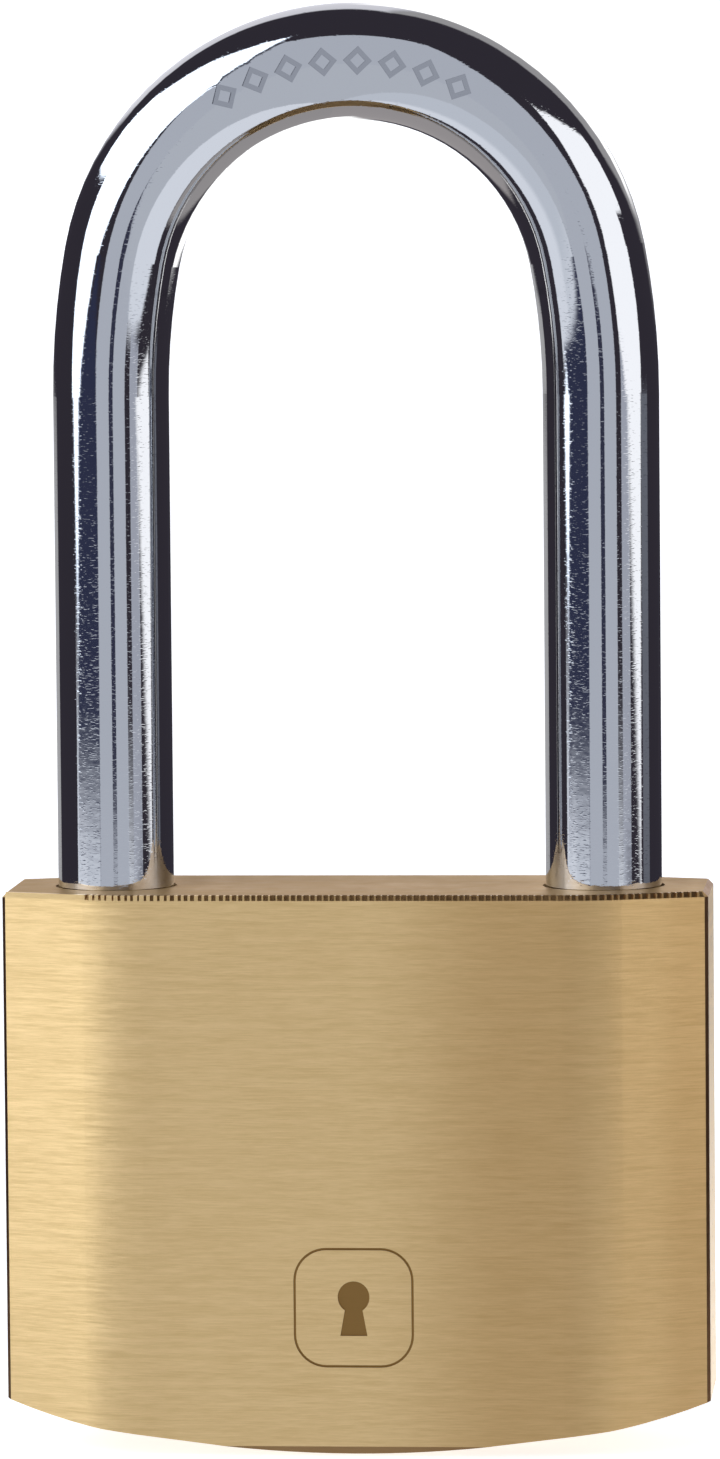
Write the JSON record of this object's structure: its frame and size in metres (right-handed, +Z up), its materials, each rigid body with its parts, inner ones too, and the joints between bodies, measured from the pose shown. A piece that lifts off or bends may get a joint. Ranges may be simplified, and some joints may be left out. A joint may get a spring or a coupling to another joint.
{
  "type": "safety padlock",
  "caption": "Solid brass safety padlock with a tall chromed U shackle that slides up when a key-turned plug draws two bolts out of its legs.",
  "frame": {"origin": "centre of the underside, on the lowest point of the rounded base", "axes": "+Z up along the shackle's legs, +X towards the toe leg, -Y out of the front face"},
  "size_m": [0.06, 0.019, 0.1227],
  "materials": {
    "brass_body": "satin, brushed along the width",
    "chrome": "polished",
    "brass_plug": "turned, satin",
    "nickel_silver": "turned, smooth",
    "spring_steel": "drawn wire, bright",
    "hardened_steel": "ground"
  },
  "bodies": {
    "lock_case": {"lock_body": "brass_body", "heel_retaining_pin": "brass_body", "plug_retaining_pin": "brass_body", "channel_plug": "brass_body", "shackle_spring": "spring_steel", "chamber_plug_1": "brass_body", "chamber_plug_2": "brass_body", "chamber_plug_3": "brass_body", "chamber_plug_4": "brass_body", "chamber_plug_5": "brass_body", "pin_spring_1": "spring_steel", "pin_spring_2": "spring_steel", "pin_spring_3": "spring_steel", "pin_spring_4": "spring_steel", "pin_spring_5": "spring_steel"},
    "shackle_slider": {"shackle": "chrome", "spring_seat": "brass_plug"},
    "plug_rotor": {"plug": "brass_plug", "cam_disc": "hardened_steel"},
    "heel_bolt": {"locking_bolt_heel": "hardened_steel", "bolt_drive_pin_heel": "hardened_steel"},
    "toe_bolt": {"locking_bolt_toe": "hardened_steel", "bolt_drive_pin_toe": "hardened_steel"},
    "driver_1": {"driver_pin_1": "nickel_silver"},
    "key_follower_1": {"key_pin_1": "nickel_silver"},
    "driver_2": {"driver_pin_2": "nickel_silver"},
    "key_follower_2": {"key_pin_2": "nickel_silver"},
    "driver_3": {"driver_pin_3": "nickel_silver"},
    "key_follower_3": {"key_pin_3": "nickel_silver"},
    "driver_4": {"driver_pin_4": "nickel_silver"},
    "key_follower_4": {"key_pin_4": "nickel_silver"},
    "driver_5": {"driver_pin_5": "nickel_silver"},
    "key_follower_5": {"key_pin_5": "nickel_silver"}
  },
  "joints": [
    {"name": "heel_bolt_slide", "type": "slide", "parent": "lock_case", "child": "heel_bolt", "axis": [-1, 0, 0], "range_m": [0, 0.0024]},
    {"name": "toe_bolt_slide", "type": "slide", "parent": "lock_case", "child": "toe_bolt", "axis": [1, 0, 0], "range_m": [0, 0.0024]},
    {"name": "plug_turn", "type": "hinge", "parent": "lock_case", "child": "plug_rotor", "pos_m": [0, 0, 0.0008], "axis": [0, 0, 1], "range_deg": [0, 90]},
    {"name": "shackle_lift", "type": "slide", "parent": "lock_case", "child": "shackle_slider", "axis": [0, 0, 1], "range_m": [0, 0.015], "deforming": ["shackle_spring"]},
    {"name": "driver_1_slide", "type": "slide", "parent": "lock_case", "child": "driver_1", "axis": [1, 0, 0], "range_m": [0, 0.0012], "stiffness_N_per_m": 200, "springref_m": -0.002, "deforming": ["pin_spring_1"]},
    {"name": "driver_2_slide", "type": "slide", "parent": "lock_case", "child": "driver_2", "axis": [1, 0, 0], "range_m": [0, 0.0012], "stiffness_N_per_m": 200, "springref_m": -0.002, "deforming": ["pin_spring_2"]},
    {"name": "driver_3_slide", "type": "slide", "parent": "lock_case", "child": "driver_3", "axis": [1, 0, 0], "range_m": [0, 0.0012], "stiffness_N_per_m": 200, "springref_m": -0.002, "deforming": ["pin_spring_3"]},
    {"name": "driver_4_slide", "type": "slide", "parent": "lock_case", "child": "driver_4", "axis": [1, 0, 0], "range_m": [0, 0.0012], "stiffness_N_per_m": 200, "springref_m": -0.002, "deforming": ["pin_spring_4"]},
    {"name": "driver_5_slide", "type": "slide", "parent": "lock_case", "child": "driver_5", "axis": [1, 0, 0], "range_m": [0, 0.0012], "stiffness_N_per_m": 200, "springref_m": -0.002, "deforming": ["pin_spring_5"]},
    {"name": "key_follower_1_slide", "type": "slide", "parent": "plug_rotor", "child": "key_follower_1", "axis": [0, 1, 0], "range_m": [0, 0.0012]},
    {"name": "key_follower_2_slide", "type": "slide", "parent": "plug_rotor", "child": "key_follower_2", "axis": [0, 1, 0], "range_m": [0, 0.0012]},
    {"name": "key_follower_3_slide", "type": "slide", "parent": "plug_rotor", "child": "key_follower_3", "axis": [0, 1, 0], "range_m": [0, 0.0012]},
    {"name": "key_follower_4_slide", "type": "slide", "parent": "plug_rotor", "child": "key_follower_4", "axis": [0, 1, 0], "range_m": [0, 0.0012]},
    {"name": "key_follower_5_slide", "type": "slide", "parent": "plug_rotor", "child": "key_follower_5", "axis": [0, 1, 0], "range_m": [0, 0.0012]}
  ],
  "couplings": [
    {"joint": "toe_bolt_slide", "follows": "heel_bolt_slide", "ratio": 1},
    {"joint": "plug_turn", "follows": "heel_bolt_slide", "rad_per_m": 654.5}
  ]
}
